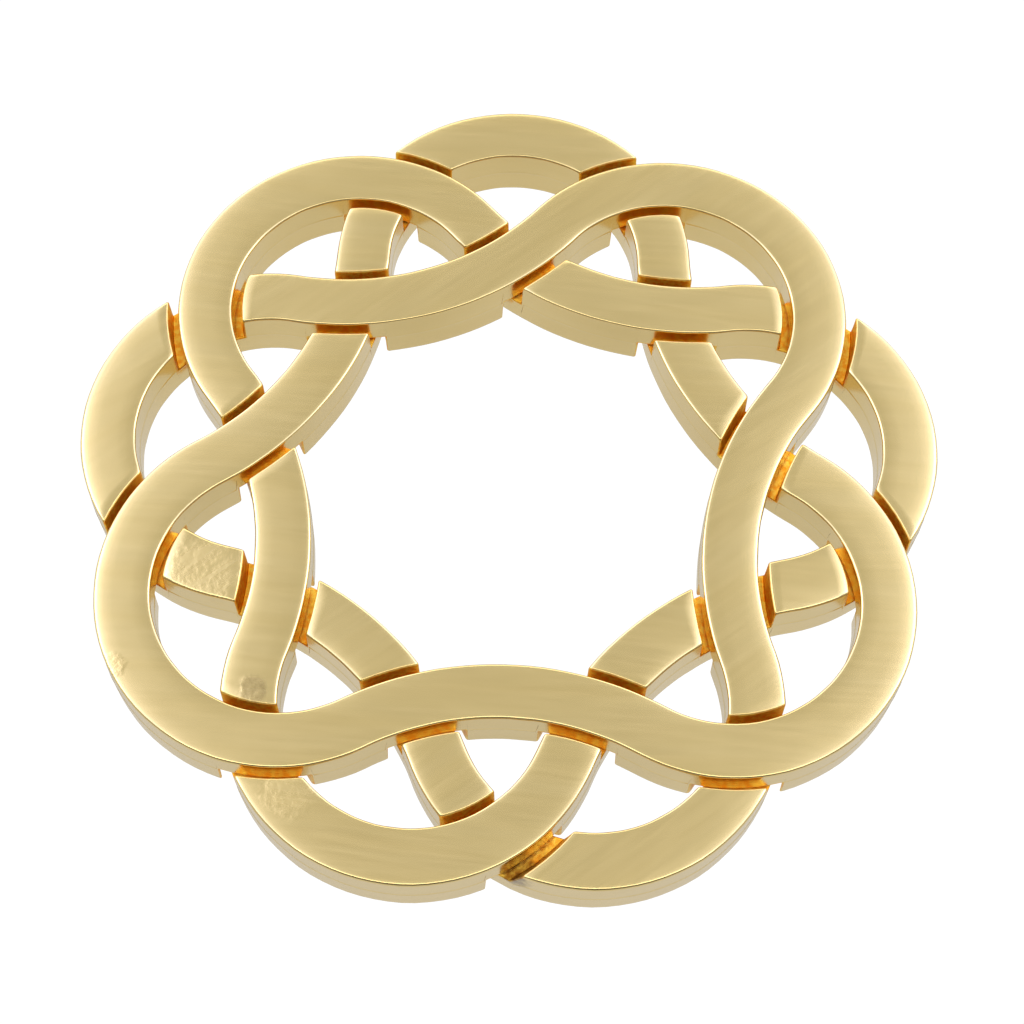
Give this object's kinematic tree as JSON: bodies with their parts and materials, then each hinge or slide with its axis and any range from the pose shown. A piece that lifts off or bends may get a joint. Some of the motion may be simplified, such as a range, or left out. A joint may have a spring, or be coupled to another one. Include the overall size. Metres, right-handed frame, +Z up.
{
  "type": "ring disentanglement puzzle",
  "caption": "Gold-coloured cast metal puzzle of wavy rings half-lapped through each other into one flat lobed knot with an open middle; the rings fold out of the plane.",
  "frame": {"origin": "middle of the knot, halfway through its thickness", "axes": "+Z up out of the face on which the front weave shows, square to the plane of the rings; +Y out through a lobe of ring a; +X to the right"},
  "size_m": [0.0696, 0.069, 0.0052],
  "materials": {
    "gold_plate": "satin gold plating over cast zinc, brushed on the flat faces"
  },
  "bodies": {
    "ring_a": {"wave_ring_a": "gold_plate"},
    "ring_b": {"wave_ring_b": "gold_plate"},
    "ring_c": {"wave_ring_c": "gold_plate"}
  },
  "joints": [
    {"name": "lift_ring_b", "type": "hinge", "parent": "ring_a", "child": "ring_b", "pos_m": [0.00034, 0.0005, 0.0011], "axis": [0.829, -0.5592, 0], "range_deg": [0, 45]},
    {"name": "lift_ring_c", "type": "hinge", "parent": "ring_a", "child": "ring_c", "pos_m": [-0.0008, 0.01137, 0.0028], "axis": [0.9976, 0.0698, 0], "range_deg": [0, 15]}
  ],
  "couplings": [
    {"joint": "lift_ring_c", "follows": "lift_ring_b", "ratio": 0.33333}
  ]
}
